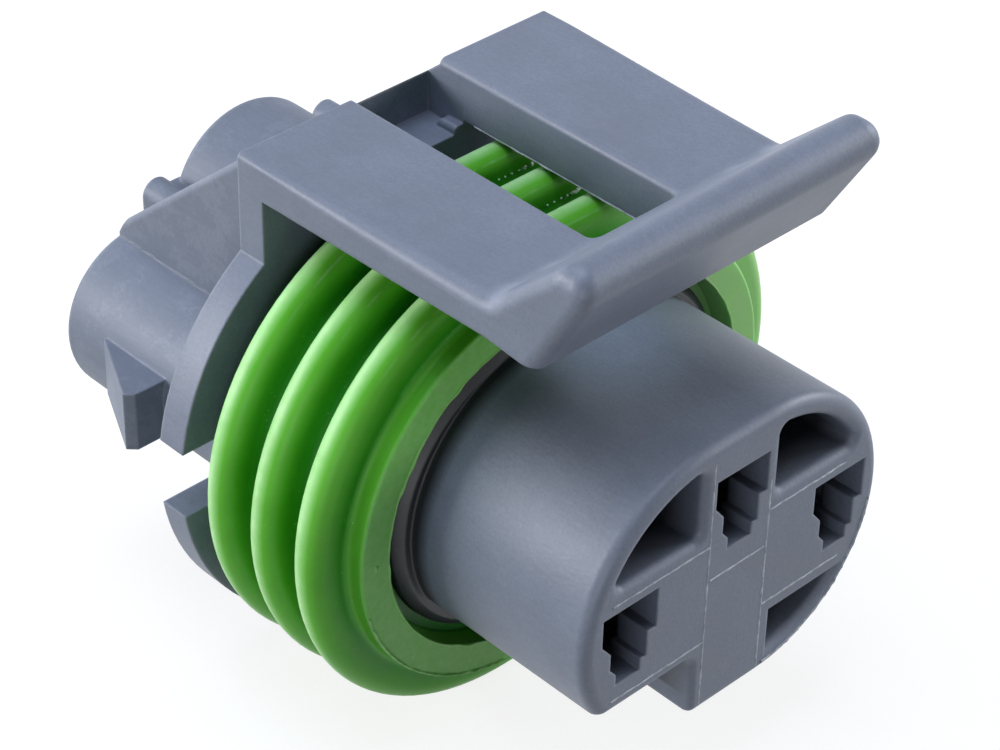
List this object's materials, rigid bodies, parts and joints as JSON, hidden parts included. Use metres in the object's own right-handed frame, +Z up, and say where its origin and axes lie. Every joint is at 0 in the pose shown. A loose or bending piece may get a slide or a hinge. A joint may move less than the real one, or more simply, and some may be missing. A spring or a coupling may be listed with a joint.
{
  "type": "sealed connector",
  "caption": "Sealed automotive connector half in grey plastic with an oval green ring seal, a windowed lift latch and stepped terminal cavities in an obround nose",
  "frame": {"origin": "centre of the flat front face of the nose, where the mating half stops", "axes": "+X out of the nose towards the mating half, +Z up to the latch, +Y along the wide way of the oval"},
  "size_m": [0.0296, 0.0258, 0.0271],
  "materials": {
    "grey_plastic": "satin as moulded, glass filled",
    "green_silicone": "smooth, slightly glossy",
    "tinned_terminal": "bright tin on copper alloy strip"
  },
  "bodies": {
    "housing": {"housing": "grey_plastic", "ring_seal": "green_silicone", "terminal_left": "tinned_terminal", "terminal_middle": "tinned_terminal", "terminal_right": "tinned_terminal", "cable_seal_left": "green_silicone", "cable_seal_middle": "green_silicone", "cable_seal_right": "green_silicone"},
    "latch": {"latch": "grey_plastic"}
  },
  "joints": [
    {"name": "latch_lift", "type": "hinge", "parent": "housing", "child": "latch", "pos_m": [-0.01805, 0, 0.01319], "axis": [0, -1, 0], "range_deg": [0, 10], "stiffness_Nm_per_rad": 0.02}
  ]
}
